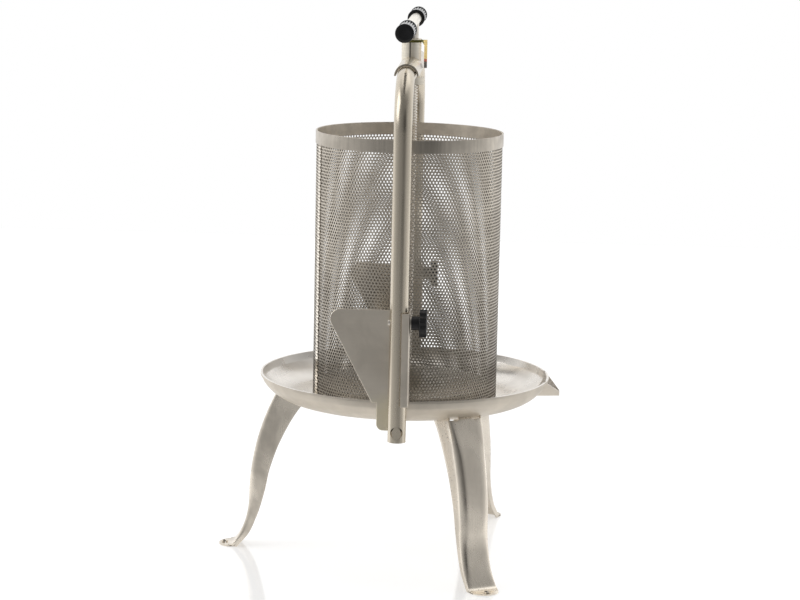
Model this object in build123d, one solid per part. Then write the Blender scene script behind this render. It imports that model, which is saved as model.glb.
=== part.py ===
from build123d import *
import os
from math import asin, cos, pi, radians, sin, sqrt

# Screw fruit press of sheet and tube steel, in millimetres.
# The origin is on the floor, on the axis of the spindle and basket.
# +Z is up, +X points to the spout, and the tube frame stands in the YZ plane.

# Running and seating clearances, and how far a cut runs past the face it cuts
running_gap = 0.08
seat_gap = 0.3
weld_gap = 0.1
cut_margin = 1.0

# Tray with a pouring lip
tray_rim_radius = 209.0
tray_underside = 227.0
tray_depth = 36.5
tray_sheet = 1.5
tray_corner_radius = 58.0
tray_corner_turn = radians(57.0)
tray_wall_run = 2.2
hem_width = 1.6
hem_height = 3.0
lip_half_width = 45.0
lip_reach = 16.0
lip_tip_half_width = 5.0
lip_tip_drop = 20.5
lip_floor_half_width = 14.0
lip_floor_height = 11.0
lip_tip_floor_half_width = 3.0
lip_tip_floor_height = 9.5
lip_root_back = 12.0

# Basket, with a coarse grid of openings for its fine perforation
basket_radius = 133.0
basket_height = 386.0
basket_sheet = 1.0
rim_band_height = 18.0
rim_band_sheet = 1.2
rim_band_rise = 0.5
seam_width = 12.0
seam_sheet = 0.8
seam_angle = -159.0
opening_columns = 24
opening_rows = 12
opening_diameter = 11.0
opening_margin = 8.0

# Legs of folded sheet
leg_left_angle = 180.0
leg_front_angle = -60.0
leg_rear_angle = 60.0
leg_sheet = 2.0
leg_top_width = 55.0
leg_knee_width = 47.0
leg_foot_width = 44.0
leg_knee_height = 150.0
leg_ankle_height = 75.0
leg_hip_radius = 340.0
leg_shin_radius = 120.0
leg_toe_radius = 12.0
toe_hole_reach = 51.0
toe_hole_diameter = 9.0
toe_hole_setback = 5.8
toe_flat_length = 14.0
flange_top_depth = 60.0
flange_high_height = 208.0
flange_high_depth = 44.0
flange_mid_height = 110.0
flange_mid_depth = 25.0
flange_low_height = 40.0
flange_low_depth = 14.5
flange_toe_reach = 17.0
web_tab_width = 21.5
web_slot_width = 13.2
web_slot_height = 3.0

# Bent tube frame
tube_radius = 12.5
tube_wall = 2.0
tube_bend_radius = 70.0
tube_bottom = 211.0
frame_headroom = 90.4

# Half-pipe that reinforces the top of the frame
saddle_radius = 16.85
saddle_sheet = 2.5
saddle_length = 312.0

# Brackets that hold the frame upright
bracket_sheet = 2.5
bracket_over_knob = 15.0
bracket_fan_reach = 104.0
bracket_fan_foot = 36.0
bracket_corner_radius = 14.0
bracket_lip_width = 10.8
bracket_lug_reach = 29.0
bracket_lug_front = 12.0
bracket_lug_bottom = 223.0
bracket_lug_radius = 9.0
bracket_bend_radius = 3.0
bracket_rest_drop = 1.5

# Bar under the tray and the pivot pins of the frame
beam_width = 16.0
beam_height = 12.0
beam_lug_overlap = 2.0
pivot_height = 225.0
pivot_radius = 6.0
pivot_access_radius = 8.5
pivot_recess = 0.5

# Clamping knobs
knob_height = 376.0
knob_head_radius = 19.0
knob_head_length = 10.0
knob_neck_radius = 9.5
knob_neck_length = 10.8
knob_lobes = 8
knob_scallop_radius = 5.5
knob_scallop_depth = 3.0
knob_edge_radius = 1.2
knob_socket_depth = 13.0
knob_screw_radius = 4.0
knob_screw_overhang = 2.5
washer_radius = 10.0
washer_thickness = 1.6
screw_hole_radius = 4.5
bush_radius = 6.5
bush_length = 7.0
bush_offset = 1.0

# Spindle, nut and T-handle
spindle_radius = 10.0
nut_radius = 14.0
nut_rise = 42.0
nut_flange_radius = 19.0
nut_flange_height = 10.0
bar_rise = 21.0
bar_radius = 8.0
handle_length = 476.0
grip_length = 97.0
grip_radius = 12.0
grip_flange_radius = 12.8
grip_flange_length = 5.0
grip_end_wall = 2.5

# Press plate and the swivel joint that carries it
plate_clearance = 7.0
plate_lift = 16.0
plate_thickness = 6.0
plate_edge_radius = 1.5
socket_radius = 24.0
socket_height = 14.0
socket_floor = 4.0
keeper_thickness = 5.0
keeper_split = 1.0
groove_radius = 7.0
keeper_screw_circle = 35.0
keeper_screw_radius = 2.5
keeper_screw_head_radius = 4.25
keeper_screw_head_height = 4.0
keeper_screw_length = 12.0
keeper_screw_count = 4

# Tag hung on the nut sleeve
tag_sheet = 0.8
tag_band_height = 8.0
tag_band_drop = 1.5
tag_width = 6.0
tag_stand_off = 3.2
tag_length = 40.0

# Places worked out from the sizes above
tray_floor = tray_underside + tray_sheet
tray_rim = tray_underside + tray_depth
basket_bottom = tray_floor + weld_gap
basket_rim = basket_bottom + basket_height
tube_top_axis = basket_rim + frame_headroom
bracket_top = knob_height + bracket_over_knob
toe_hole_circle = 2 * (tray_rim_radius + toe_hole_reach)
bracket_back = tray_rim_radius + seat_gap
bracket_front = bracket_back + bracket_sheet
frame_reach = bracket_front + seat_gap + tube_radius
web_inner = tube_radius + seat_gap
web_outer = web_inner + bracket_sheet
lip_inner = frame_reach + tube_radius + seat_gap
nut_bottom = tube_top_axis - tube_radius - weld_gap - nut_flange_height
nut_top = tube_top_axis + nut_rise
bar_height = nut_top + bar_rise
plate_bottom = tray_floor + plate_lift
plate_top = plate_bottom + plate_thickness
socket_top = plate_top + socket_height
spindle_bottom = plate_top + socket_floor + seat_gap
keeper_top = socket_top + keeper_thickness
grip_inner_end = handle_length / 2 - grip_length


def flat_face(points):
    """Face in the XZ plane bounded by straight lines."""
    return Face(Wire.make_polygon([(x, 0, z) for x, z in points], close=True))


def arc_through(centre, radius, start, end):
    """Arc in the XZ plane about a centre, between two angles in radians."""
    spots = [start, (start + end) / 2, end]
    return ThreePointArc(*[(centre[0] + radius * cos(a), 0, centre[1] + radius * sin(a)) for a in spots])


def rod(start, end, radius):
    """Round bar between two points."""
    way = Vector(*end) - Vector(*start)
    section = Plane(origin=start, z_dir=way) * Circle(radius)
    return extrude(section, amount=way.length)


def ring(outer, inner, bottom, top):
    """Upright hollow cylinder on the Z axis."""
    return rod((0, 0, bottom), (0, 0, top), outer) - rod((0, 0, bottom), (0, 0, top), inner)


def block(x, y, z):
    """Box between two values on each axis."""
    size = (x[1] - x[0], y[1] - y[0], z[1] - z[0])
    return Pos((x[0] + x[1]) / 2, (y[0] + y[1]) / 2, (z[0] + z[1]) / 2) * Box(*size)


def knob_axis_rod(start, end, radius):
    """Round bar on the axis of the front knob, between two values of X."""
    return rod((start, -frame_reach, knob_height), (end, -frame_reach, knob_height), radius)


def bar_axis_rod(start, end, radius):
    """Round bar on the axis of the handle bar, between two values of Y."""
    return rod((0, start, bar_height), (0, end, bar_height), radius)


def mirrored(shape):
    """Copy of a front piece for the rear side."""
    return mirror(shape, about=Plane.XZ)


def corner_centre():
    wall_top = tray_rim_radius - hem_width
    flat = wall_top - tray_wall_run - tray_corner_radius * sin(tray_corner_turn)
    return flat, tray_underside + tray_corner_radius


def tray_envelope(inset):
    """Filled dish shape, past the rim: the tray's outside, moved inward by the inset."""
    flat, centre_z = corner_centre()
    top = tray_rim + cut_margin
    radius = tray_corner_radius - inset
    floor = tray_underside + inset
    wall_top = tray_rim_radius - hem_width - inset
    corner = arc_through((flat, centre_z), radius, -pi / 2, -pi / 2 + tray_corner_turn)
    turn_end = corner @ 1
    rim_point = Vector(wall_top, 0, tray_rim)
    edges = [
        Line((0, 0, floor), (flat, 0, floor)),
        corner,
        Line(turn_end, rim_point),
        Line(rim_point, (wall_top, 0, top)),
        Line((wall_top, 0, top), (0, 0, top)),
        Line((0, 0, top), (0, 0, floor)),
    ]
    return revolve(Face(Wire(edges)), axis=Axis.Z)


def tray_outside_height(radius):
    """Height of the tray's underside at a radius on its rounded corner."""
    flat, centre_z = corner_centre()
    return centre_z - sqrt(tray_corner_radius ** 2 - (radius - flat) ** 2)


def lip_section(x, inset):
    """Section of the pouring lip, square to X, narrower towards the tip."""
    root = sqrt(tray_rim_radius ** 2 - lip_half_width ** 2)
    tip = tray_rim_radius + lip_reach
    share = (x - root) / (tip - root)
    top_width = lip_half_width - share * (lip_half_width - lip_tip_half_width) - inset * 5 / 3
    floor_narrowing = lip_floor_half_width - lip_tip_floor_half_width
    floor_width = lip_floor_half_width - share * floor_narrowing - inset / 3
    top = tray_rim - share * lip_tip_drop
    floor = tray_underside + lip_floor_height + inset
    floor = floor + share * (lip_tip_floor_height - lip_floor_height)
    corners = [(-top_width, top), (-floor_width, floor), (floor_width, floor), (top_width, top)]
    return Face(Wire.make_polygon([(x, y, z) for y, z in corners], close=True))


def make_tray():
    root = sqrt(tray_rim_radius ** 2 - lip_half_width ** 2)
    tip = tray_rim_radius + lip_reach
    start = root - lip_root_back
    below_rim = block((-tip, 2 * tip), (-tip, tip), (0, tray_rim))
    outside = loft([lip_section(start, 0), lip_section(tip, 0)], ruled=True)
    ends = [lip_section(start - cut_margin, tray_sheet), lip_section(tip + cut_margin, tray_sheet)]
    inside = loft(ends, ruled=True)
    hem_inner = tray_rim_radius - hem_width - tray_sheet / 2
    hem = ring(tray_rim_radius, hem_inner, tray_rim - hem_height, tray_rim)
    shell = (tray_envelope(0) + hem + outside) & below_rim
    return shell - tray_envelope(tray_sheet) - inside


def leg_lines():
    """Ankle radius and the angle where the shin arc meets the toe arc."""
    rise = (leg_ankle_height - leg_toe_radius - leg_sheet) / (leg_shin_radius - leg_toe_radius)
    turn = asin(rise)
    run = leg_shin_radius - (leg_shin_radius - leg_toe_radius) * cos(turn)
    flat_start = toe_hole_circle / 2 - toe_hole_setback
    return flat_start - run, turn, flat_start


def leg_front_radius(height):
    """Distance of the leg's outer face from the axis at a height above the ankle."""
    ankle = leg_lines()[0]
    return ankle - leg_hip_radius + sqrt(leg_hip_radius ** 2 - (height - leg_ankle_height) ** 2)


def leg_shin_face(height):
    """Distance of the leg's outer face from the axis at a height below the ankle."""
    ankle = leg_lines()[0]
    return ankle + leg_shin_radius - sqrt(leg_shin_radius ** 2 - (leg_ankle_height - height) ** 2)


def leg_curve(inset):
    """Outer face line of the leg from top to toe, moved inward by the inset."""
    ankle, turn, flat_start = leg_lines()
    climb = asin((tray_rim - leg_ankle_height) / leg_hip_radius)
    hip = arc_through((ankle - leg_hip_radius, leg_ankle_height), leg_hip_radius - inset, climb, 0)
    shin_centre = (ankle + leg_shin_radius, leg_ankle_height)
    shin = arc_through(shin_centre, leg_shin_radius + inset, pi, pi + turn)
    toe_centre = (flat_start, leg_sheet + leg_toe_radius)
    toe = arc_through(toe_centre, leg_toe_radius + inset, pi + turn, 3 * pi / 2)
    return [hip, shin, toe]


def leg_width_face(inset):
    """Front view of the leg: its width against its height."""
    half = [(leg_foot_width / 2, -cut_margin), (leg_foot_width / 2, leg_ankle_height),
            (leg_knee_width / 2, leg_knee_height), (leg_top_width / 2, tray_rim + cut_margin)]
    right = [(w - inset, z) for w, z in half]
    left = [(-w, z) for w, z in reversed(right)]
    return Face(Wire.make_polygon([(0, y, z) for y, z in right + left], close=True))


def make_leg():
    ankle, turn, flat_start = leg_lines()
    toe_end = flat_start + toe_flat_length
    outer = leg_curve(0)
    top = outer[0] @ 0
    inner_edge = Spline(
        (ankle + flange_toe_reach, 0, 0),
        (leg_shin_face(flange_low_height) - flange_low_depth, 0, flange_low_height),
        (leg_front_radius(flange_mid_height) - flange_mid_depth, 0, flange_mid_height),
        (leg_front_radius(flange_high_height) - flange_high_depth, 0, flange_high_height),
        (top.X - flange_top_depth, 0, top.Z),
    )
    side = Face(Wire(outer + [
        Line(outer[2] @ 1, (toe_end, 0, leg_sheet)),
        Line((toe_end, 0, leg_sheet), (toe_end, 0, 0)),
        Line((toe_end, 0, 0), (ankle + flange_toe_reach, 0, 0)),
        inner_edge,
        Line((top.X - flange_top_depth, 0, top.Z), top),
    ]))
    reach = leg_top_width
    body = extrude(side, amount=reach, dir=(0, 1, 0), both=True)
    body = body & extrude(leg_width_face(0), amount=2 * toe_end, dir=(1, 0, 0))
    toe_centre = toe_end - leg_foot_width / 2
    round_end = rod((toe_centre, 0, -cut_margin), (toe_centre, 0, tray_rim), leg_foot_width / 2)
    behind_toe = block((0, toe_centre), (-reach, reach), (-cut_margin, tray_rim))
    body = body & (round_end + behind_toe)
    hollow_line = leg_curve(leg_sheet)
    start = hollow_line[0] @ 0
    hollow = Face(Wire(hollow_line + [
        Line(hollow_line[2] @ 1, (flat_start, 0, -cut_margin)),
        Line((flat_start, 0, -cut_margin), (0, 0, -cut_margin)),
        Line((0, 0, -cut_margin), (0, 0, start.Z + cut_margin)),
        Line((0, 0, start.Z + cut_margin), (start.X, 0, start.Z + cut_margin)),
        Line((start.X, 0, start.Z + cut_margin), start),
    ]))
    inside = extrude(hollow, amount=reach, dir=(0, 1, 0), both=True)
    inside = inside & extrude(leg_width_face(leg_sheet), amount=2 * toe_end, dir=(1, 0, 0))
    hole_at = toe_hole_circle / 2
    hole_top = (hole_at, 0, leg_sheet + cut_margin)
    hole = rod((hole_at, 0, -cut_margin), hole_top, toe_hole_diameter / 2)
    meet = tray_underside
    for _ in range(40):
        meet = tray_outside_height(leg_front_radius(meet))
    slots = None
    for side_sign in (-1, 1):
        near = side_sign * web_tab_width / 2
        far = side_sign * (web_tab_width / 2 + web_slot_width)
        front = leg_front_radius(meet)
        slot = block((front - 3 * leg_sheet, front + 3 * leg_sheet), (min(near, far), max(near, far)),
                     (meet - web_slot_height, tray_rim))
        slots = slot if slots is None else slots + slot
    return body - inside - hole - slots - tray_envelope(-weld_gap)


def make_bracket():
    """Front bracket: fan plate, lug, and a J-shaped hook round the tube."""
    rest = tray_rim - bracket_rest_drop
    tongue = beam_width / 2
    tongue_bottom = tray_underside - beam_height - beam_lug_overlap
    outline = [
        (web_outer, bracket_top), (-bracket_fan_reach, bracket_top), (-bracket_fan_foot, rest),
        (-bracket_lug_reach, rest), (-bracket_lug_reach, bracket_lug_bottom), (-tongue, bracket_lug_bottom),
        (-tongue, tongue_bottom), (tongue, tongue_bottom), (tongue, bracket_lug_bottom),
        (bracket_lug_front, bracket_lug_bottom), (bracket_lug_front, rest), (web_outer, rest),
    ]
    plate = extrude(flat_face(outline), amount=bracket_sheet, dir=(0, -1, 0))
    along_y = plate.edges().filter_by(Axis.Y)
    corner = along_y.sort_by_distance((-bracket_fan_reach, 0, bracket_top))[0:1]
    plate = fillet(corner, bracket_corner_radius)
    along_y = plate.edges().filter_by(Axis.Y)
    corner = along_y.sort_by_distance((-bracket_lug_reach, 0, bracket_lug_bottom))[0:1]
    plate = fillet(corner, bracket_lug_radius)
    plate = Pos(0, -bracket_back, 0) * plate
    hook_front = lip_inner + bracket_sheet
    web = block((web_inner, web_outer), (-hook_front, -bracket_back), (rest, bracket_top))
    lip = block((web_outer - bracket_lip_width, web_outer), (-hook_front, -lip_inner), (rest, bracket_top))
    hook = plate + web + lip
    bends = hook.edges().filter_by(Axis.Z)
    outer_bend = bends.sort_by_distance((web_outer, -hook_front, (rest + bracket_top) / 2))[0:1]
    hook = fillet(outer_bend, bracket_bend_radius)
    return hook - knob_axis_rod(web_inner - cut_margin, web_outer + cut_margin, screw_hole_radius)


def make_beam():
    half = beam_width / 2
    bottom = tray_underside - beam_height
    return block((-half, half), (-bracket_back, bracket_back), (bottom, tray_underside))


def make_frame_tube():
    """Front half of the frame: leg, bend and half of the top rail."""
    foot = (0, -frame_reach, tube_bottom)
    bend_start = (0, -frame_reach, tube_top_axis - tube_bend_radius)
    slant = tube_bend_radius * (1 - sqrt(0.5))
    bend_middle = (0, -frame_reach + slant, tube_top_axis - slant)
    bend_end = (0, -frame_reach + tube_bend_radius, tube_top_axis)
    path = Wire([Line(foot, bend_start), ThreePointArc(bend_start, bend_middle, bend_end),
                 Line(bend_end, (0, 0, tube_top_axis))])
    section = Plane(origin=foot, z_dir=(0, 0, 1))
    outside = sweep(section * Circle(tube_radius), path=path)
    inside = sweep(section * Circle(tube_radius - tube_wall), path=path)
    cope = rod((0, 0, nut_bottom), (0, 0, nut_top), nut_radius + weld_gap)
    inner_side = (0, -frame_reach + 2 * tube_radius, pivot_height)
    middle = (0, -frame_reach, pivot_height)
    pivot_hole = rod(middle, inner_side, pivot_radius + running_gap)
    access_hole = rod((0, -frame_reach - 2 * tube_radius, pivot_height), middle, pivot_access_radius)
    knob_hole = knob_axis_rod(-2 * tube_radius, 2 * tube_radius, screw_hole_radius)
    return outside - inside - cope - pivot_hole - access_hole - knob_hole


def make_pivot_pin():
    start = (0, -bracket_front, pivot_height)
    return rod(start, (0, -frame_reach - tube_radius + pivot_recess, pivot_height), pivot_radius)


def make_saddle():
    """Half of a pipe, laid over the top rail and pierced by the nut sleeve."""
    half = saddle_length / 2
    centre = (0, -half, tube_top_axis), (0, half, tube_top_axis)
    pipe = rod(*centre, saddle_radius) - rod(*centre, saddle_radius - saddle_sheet)
    beyond = saddle_radius + cut_margin
    above = block((-beyond, beyond), (-half, half), (tube_top_axis, tube_top_axis + beyond))
    sleeve_hole = rod((0, 0, tube_top_axis), (0, 0, nut_top), nut_radius + weld_gap)
    return (pipe & above) - sleeve_hole


def make_nut():
    sleeve = rod((0, 0, nut_bottom), (0, 0, nut_top), nut_radius)
    flange = rod((0, 0, nut_bottom), (0, 0, nut_bottom + nut_flange_height), nut_flange_radius)
    bore_ends = (0, 0, nut_bottom - cut_margin), (0, 0, nut_top + cut_margin)
    bore = rod(*bore_ends, spindle_radius + running_gap)
    return sleeve + flange - bore


def make_tag():
    """Band round the nut sleeve with a strip that hangs beside it."""
    band_top = nut_top - tag_band_drop
    band_bottom = band_top - tag_band_height
    inner = nut_radius + weld_gap
    band = ring(inner + tag_sheet, inner, band_bottom, band_top)
    near = nut_radius + tag_stand_off
    far = near + tag_width
    half = tag_sheet / 2
    neck = block((inner + half, far), (-half, half), (band_bottom, band_top))
    strip = block((near, far), (-half, half), (band_top - tag_length, band_top))
    return band + neck + strip


def make_spindle():
    """Screw, plain at the crest of its thread, with a groove for the keeper."""
    shaft = rod((0, 0, spindle_bottom), (0, 0, bar_height), spindle_radius)
    beyond = spindle_radius + cut_margin
    bar = bar_axis_rod(-beyond, beyond, bar_radius + weld_gap)
    groove = ring(beyond, groove_radius, socket_top - seat_gap, keeper_top + seat_gap)
    return shaft - bar - groove


def make_bar():
    reach = handle_length / 2 - grip_end_wall
    return bar_axis_rod(-reach, reach, bar_radius)


def make_grip():
    """Front grip: sleeve with a flange at each end and a closed outer end."""
    outer_end = -handle_length / 2
    inner_end = -grip_inner_end
    sleeve = bar_axis_rod(outer_end, inner_end, grip_radius)
    flanges = bar_axis_rod(outer_end, outer_end + grip_flange_length, grip_flange_radius)
    flanges += bar_axis_rod(inner_end - grip_flange_length, inner_end, grip_flange_radius)
    bore = bar_axis_rod(outer_end + grip_end_wall, inner_end + cut_margin, bar_radius + weld_gap)
    return sleeve + flanges - bore


def make_plate():
    radius = basket_radius - basket_sheet - plate_clearance
    plate = rod((0, 0, plate_bottom), (0, 0, plate_top), radius)
    return fillet(plate.edges().filter_by(GeomType.CIRCLE), plate_edge_radius)


def keeper_spots():
    """Places of the keeper screws round the socket."""
    radius = keeper_screw_circle / 2
    turns = [2 * pi * (i + 0.5) / keeper_screw_count for i in range(keeper_screw_count)]
    return [(radius * cos(turn), radius * sin(turn)) for turn in turns]


def keeper_holes(bottom, top):
    holes = [rod((x, y, bottom), (x, y, top), keeper_screw_radius + weld_gap) for x, y in keeper_spots()]
    return holes[0] + holes[1:]


def make_socket():
    body = rod((0, 0, plate_top), (0, 0, socket_top), socket_radius)
    above = socket_top + cut_margin
    bore = rod((0, 0, plate_top + socket_floor), (0, 0, above), spindle_radius + seat_gap)
    return body - bore - keeper_holes(keeper_top - keeper_screw_length - weld_gap, above)


def make_keeper():
    disc = ring(socket_radius, groove_radius + seat_gap, socket_top, keeper_top)
    half = keeper_split / 2
    gap = block((-half, half), (-2 * socket_radius, 2 * socket_radius), (socket_top, keeper_top))
    return disc - gap - keeper_holes(socket_top - cut_margin, keeper_top + cut_margin)


def make_keeper_screws():
    screws = []
    for x, y in keeper_spots():
        shank = rod((x, y, keeper_top - keeper_screw_length), (x, y, keeper_top), keeper_screw_radius)
        head_top = keeper_top + keeper_screw_head_height
        head = rod((x, y, keeper_top), (x, y, head_top), keeper_screw_head_radius)
        screws.append(shank + head)
    return Compound([screw.solid() for screw in screws])


def basket_openings():
    """Round openings in even columns and rows, with the seam strip between two columns."""
    row_step = (basket_height - rim_band_height - 2 * opening_margin) / opening_rows
    column_step = 360 / opening_columns
    inside = basket_radius - basket_sheet - cut_margin
    outside = basket_radius + cut_margin
    openings = []
    for i in range(opening_columns):
        turn = Rot(0, 0, seam_angle + column_step * (i + 0.5))
        for j in range(opening_rows):
            height = basket_bottom + opening_margin + row_step * (j + 0.5)
            openings.append(turn * rod((inside, 0, height), (outside, 0, height), opening_diameter / 2))
    return openings


def make_basket_shell():
    wall = ring(basket_radius, basket_radius - basket_sheet, basket_bottom, basket_rim)
    return wall - basket_openings()


def make_rim_band():
    inner = basket_radius + weld_gap
    return ring(inner + rim_band_sheet, inner, basket_rim - rim_band_height, basket_rim + rim_band_rise)


def make_seam_strip():
    """Lap strip along the basket's seam, below the rim band."""
    inner = basket_radius + weld_gap
    wall = ring(inner + seam_sheet, inner, basket_bottom, basket_rim - rim_band_height - weld_gap)
    strip = block((0, 2 * basket_radius), (-seam_width / 2, seam_width / 2), (basket_bottom, basket_rim))
    return (Rot(0, 0, seam_angle) * strip) & wall


def knob_face():
    """X of the bracket's outer face, where the washer seats."""
    return web_outer + weld_gap


def make_washer():
    start = knob_face()
    end = start + washer_thickness
    hole = knob_axis_rod(start, end, knob_screw_radius + running_gap)
    return knob_axis_rod(start, end, washer_radius) - hole


def knob_base():
    return knob_face() + washer_thickness + weld_gap


def make_knob():
    """Front star knob: round neck and a scalloped head."""
    base = knob_base()
    head_start = base + knob_neck_length
    end = head_start + knob_head_length
    neck = rod((base, 0, 0), (head_start, 0, 0), knob_neck_radius)
    head = rod((head_start, 0, 0), (end, 0, 0), knob_head_radius)
    circle = knob_head_radius + knob_scallop_radius - knob_scallop_depth
    for i in range(knob_lobes):
        turn = 2 * pi * i / knob_lobes
        y = circle * cos(turn)
        z = circle * sin(turn)
        head -= rod((head_start - cut_margin, y, z), (end + cut_margin, y, z), knob_scallop_radius)
    rims = head.edges().filter_by(GeomType.CIRCLE)
    head = fillet(rims, knob_edge_radius)
    socket = (base - cut_margin, 0, 0), (base + knob_socket_depth, 0, 0)
    bore = rod(*socket, knob_screw_radius + weld_gap)
    return Pos(0, -frame_reach, knob_height) * (neck + head - bore)


def make_knob_screw():
    tip = -tube_radius - knob_screw_overhang
    end = knob_base() + knob_socket_depth - weld_gap
    return knob_axis_rod(tip, end, knob_screw_radius)


def make_bush():
    """Threaded bush welded inside the tube for the knob's screw."""
    start = -bush_offset - bush_length
    end = -bush_offset
    hole = knob_axis_rod(start, end, knob_screw_radius + running_gap)
    return knob_axis_rod(start, end, bush_radius) - hole


def save(node, shape):
    export_step(shape, f"parts/{node}.step")


def save_pair(name, front):
    """A front piece and its mirror image at the rear, as two nodes."""
    save(f"{name}_front", front)
    save(f"{name}_rear", mirrored(front))


def save_group(node, front):
    """A front piece and its mirror image at the rear, in one node."""
    save(node, Compound([front.solid(), mirrored(front).solid()]))


def main():
    os.makedirs("parts", exist_ok=True)
    save("tray", make_tray())
    leg = make_leg()
    save("leg_left", Rot(0, 0, leg_left_angle) * leg)
    save("leg_front", Rot(0, 0, leg_front_angle) * leg)
    save("leg_rear", Rot(0, 0, leg_rear_angle) * leg)
    save("cross_beam", make_beam())
    save_pair("bracket", make_bracket())
    save_group("pivot_pins", make_pivot_pin())
    save_pair("frame_tube", make_frame_tube())
    save("frame_saddle", make_saddle())
    save("spindle_nut", make_nut())
    save("hang_tag", make_tag())
    save("spindle", make_spindle())
    save("handle_bar", make_bar())
    save_pair("handle_grip", make_grip())
    save("press_plate", make_plate())
    save("swivel_socket", make_socket())
    save("swivel_keeper", make_keeper())
    save("keeper_screws", make_keeper_screws())
    save("basket_shell", make_basket_shell())
    save("basket_rim_band", make_rim_band())
    save("basket_seam_strip", make_seam_strip())
    save_pair("knob", make_knob())
    save_pair("knob_screw", make_knob_screw())
    save_pair("knob_washer", make_washer())
    save_group("knob_bushes", make_bush())


main()
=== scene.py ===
import math

import bmesh
import bpy
from bpy.props import FloatProperty, FloatVectorProperty, IntProperty, PointerProperty
from mathutils import Matrix, Vector


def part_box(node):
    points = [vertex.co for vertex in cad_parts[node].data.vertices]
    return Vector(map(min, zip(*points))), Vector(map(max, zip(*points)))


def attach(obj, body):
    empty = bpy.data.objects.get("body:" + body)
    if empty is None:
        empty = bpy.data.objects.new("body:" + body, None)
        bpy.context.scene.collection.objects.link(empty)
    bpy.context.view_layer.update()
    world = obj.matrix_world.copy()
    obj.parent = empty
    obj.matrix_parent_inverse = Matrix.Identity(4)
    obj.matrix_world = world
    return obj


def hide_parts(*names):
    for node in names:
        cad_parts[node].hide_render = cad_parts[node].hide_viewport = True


bl_info = {
    "name": "Screw Fruit Press",
    "version": (1, 0, 0),
    "blender": (4, 5, 0),
    "location": "View3D > Sidebar > Fruit Press",
    "description": "Dresses the solids of a standing screw fruit press",
    "category": "Object",
}

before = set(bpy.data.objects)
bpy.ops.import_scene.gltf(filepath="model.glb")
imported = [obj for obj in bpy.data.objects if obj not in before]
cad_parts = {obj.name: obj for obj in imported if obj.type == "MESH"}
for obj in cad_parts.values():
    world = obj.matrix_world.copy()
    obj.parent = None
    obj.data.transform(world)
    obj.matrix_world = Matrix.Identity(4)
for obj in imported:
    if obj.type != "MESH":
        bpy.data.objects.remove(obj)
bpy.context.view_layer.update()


# Settings

class PressSizes(bpy.types.PropertyGroup):
    """Sizes of the details that the solids leave out."""
    hole_diameter: FloatProperty(name="Hole diameter", default=0.0034, unit="LENGTH",
                                 description="Holes of the basket's sheet, with their rounded rims")
    seam_hole: FloatProperty(name="Seam hole diameter", default=0.0026, unit="LENGTH",
                             description="Holes of the seam's lap, narrowed by those of the wall behind it")
    hole_columns: IntProperty(name="Holes round the basket", description="Holes in one row of the basket's sheet",
                              default=168)
    row_height: FloatProperty(name="Row height", description="Distance between two rows of holes",
                              default=0.00433, unit="LENGTH")
    row_pairs: IntProperty(name="Pairs of rows", description="Rows of holes, counted in staggered pairs", default=42)
    foot_margin: FloatProperty(name="Foot margin", description="Plain strip under the lowest row of holes",
                               default=0.0053, unit="LENGTH")
    basket_sheet: FloatProperty(name="Basket sheet", description="Thickness of the basket's sheet",
                                default=0.001, unit="LENGTH")
    seam_sheet: FloatProperty(name="Seam sheet", description="Thickness of the strip along the basket's seam",
                              default=0.0008, unit="LENGTH")
    thread_pitch: FloatProperty(name="Thread pitch", description="Rise of the spindle's thread in one turn",
                                default=0.004, unit="LENGTH")
    thread_depth: FloatProperty(name="Thread depth", description="Depth of the spindle's thread",
                                default=0.00225, unit="LENGTH")
    leg_sheet: FloatProperty(name="Leg sheet", description="Thickness of the legs' sheet", default=0.00199,
                             unit="LENGTH")
    leg_bend: FloatProperty(name="Leg bend", description="Outer radius of the legs' folded edges",
                            default=0.009, unit="LENGTH")
    edge_round: FloatProperty(name="Edge rounding", description="Rounding of cut and turned edges",
                              default=0.0004, unit="LENGTH")
    grip_ridges: IntProperty(name="Grip ridges", description="Ridges along each grip", default=20)
    ridge_depth: FloatProperty(name="Ridge depth", description="Depth of the grooves between the ridges",
                               default=0.0014, unit="LENGTH")


class PressColours(bpy.types.PropertyGroup):
    """Colours of the press."""
    sheet: FloatVectorProperty(name="Sheet steel", description="Legs, brackets and basket", subtype="COLOR",
                               default=(0.62, 0.567, 0.49), min=0, max=1)
    tray: FloatVectorProperty(name="Tray steel", description="Tray and the bar under it", subtype="COLOR",
                              default=(0.88, 0.84, 0.785), min=0, max=1)
    tube: FloatVectorProperty(name="Tube steel", description="Frame tubes and half-pipe", subtype="COLOR",
                              default=(0.68, 0.61, 0.50), min=0, max=1)
    machined: FloatVectorProperty(name="Machined steel", description="Spindle, nut and small screws", subtype="COLOR",
                                  default=(0.63, 0.59, 0.53), min=0, max=1)
    sleeve: FloatVectorProperty(name="Nut sleeve", description="Pale turned steel of the nut", subtype="COLOR",
                                default=(1.0, 0.945, 0.83), min=0, max=1)
    heat: FloatVectorProperty(name="Heat tint", description="Straw colour beside the welds", subtype="COLOR",
                              default=(1.0, 0.93, 0.74), min=0, max=1)
    plastic: FloatVectorProperty(name="Black plastic", description="Grips and knobs", subtype="COLOR",
                                 default=(0.012, 0.012, 0.013), min=0, max=1)
    tag: FloatVectorProperty(name="Tag", description="Strip beside the nut", subtype="COLOR",
                             default=(1.0, 0.80, 0.36), min=0, max=1)
    # The loop's dark olive is the yellow strap's colour in painted shade
    tag_loop_shade: FloatVectorProperty(name="Tag loop", description="Loop that holds the strip to the nut", subtype="COLOR",
                                  default=(0.26, 0.25, 0.09), min=0, max=1)
    tag_band: FloatVectorProperty(name="Tag band", description="Narrow band near the strip's end", subtype="COLOR",
                                  default=(0.62, 0.10, 0.08), min=0, max=1)
    tag_end: FloatVectorProperty(name="Tag end", description="End of the strip", subtype="COLOR",
                                 default=(0.16, 0.15, 0.15), min=0, max=1)


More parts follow.
